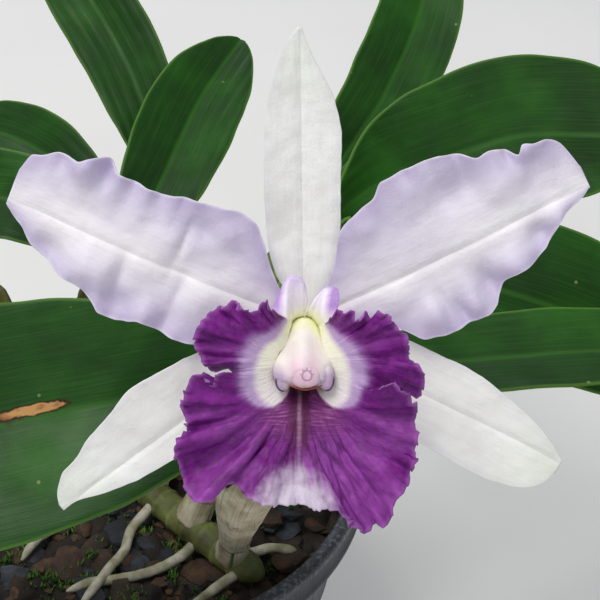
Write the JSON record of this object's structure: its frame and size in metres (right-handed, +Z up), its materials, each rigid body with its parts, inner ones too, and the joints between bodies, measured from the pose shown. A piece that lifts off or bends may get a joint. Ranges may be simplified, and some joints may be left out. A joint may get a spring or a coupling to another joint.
{
  "type": "potted cattleya orchid",
  "caption": "Cattleya orchid in a round nursery pot: strap leaves on pseudobulbs and a pale lavender bloom with a ruffled magenta lip.",
  "frame": {"origin": "middle of the pot's flat underside, which stands on the surface", "axes": "+Z up along the pot's axis; -Y is the side that the bloom faces; +X is to the bloom's left as it looks out"},
  "size_m": [0.2805, 0.3059, 0.3299],
  "materials": {
    "pot_plastic": "moulded polypropylene, dark blue-grey, scuffed",
    "bark_mix": "damp fir bark and charcoal chips with moss",
    "rhizome_skin": "woody rhizome in papery scales, roots in pale velamen",
    "pseudobulb_skin": "waxy ribbed skin with dry papery sheaths",
    "leaf_skin": "leathery, waxy, semi-gloss green",
    "dry_sheath": "dry papery spathe",
    "stalk_skin": "smooth fleshy green stalk",
    "sepal": "fleshy petal tissue, white, satin with a fine sparkle",
    "petal": "thin petal tissue, white to lavender, satin with a fine sparkle",
    "lip": "velvety ruffled petal tissue, magenta purple with a pale throat",
    "column": "smooth fleshy cream with lavender wings",
    "anther_cap": "smooth waxy cream-white"
  },
  "bodies": {
    "root": {"pot": "pot_plastic", "bark_mix": "bark_mix", "rhizome": "rhizome_skin", "pseudobulb_flowering": "pseudobulb_skin", "pseudobulb_second": "pseudobulb_skin", "pseudobulb_third": "pseudobulb_skin", "pseudobulb_fourth": "pseudobulb_skin", "pseudobulb_fifth": "pseudobulb_skin", "pseudobulb_oldest": "pseudobulb_skin", "leaf_front_left": "leaf_skin", "leaf_front_right": "leaf_skin", "leaf_second_high": "leaf_skin", "leaf_second_low": "leaf_skin", "leaf_third_back": "leaf_skin", "leaf_third_right": "leaf_skin", "leaf_fourth_right": "leaf_skin", "leaf_fourth_left": "leaf_skin", "leaf_fifth_back": "leaf_skin", "leaf_fifth_left": "leaf_skin", "spathe": "dry_sheath", "flower_stalk": "stalk_skin", "dorsal_sepal": "sepal", "lateral_sepal_left": "sepal", "lateral_sepal_right": "sepal", "petal_left": "petal", "petal_right": "petal", "lip": "lip", "column": "column", "anther_cap": "anther_cap"}
  },
  "joints": []
}
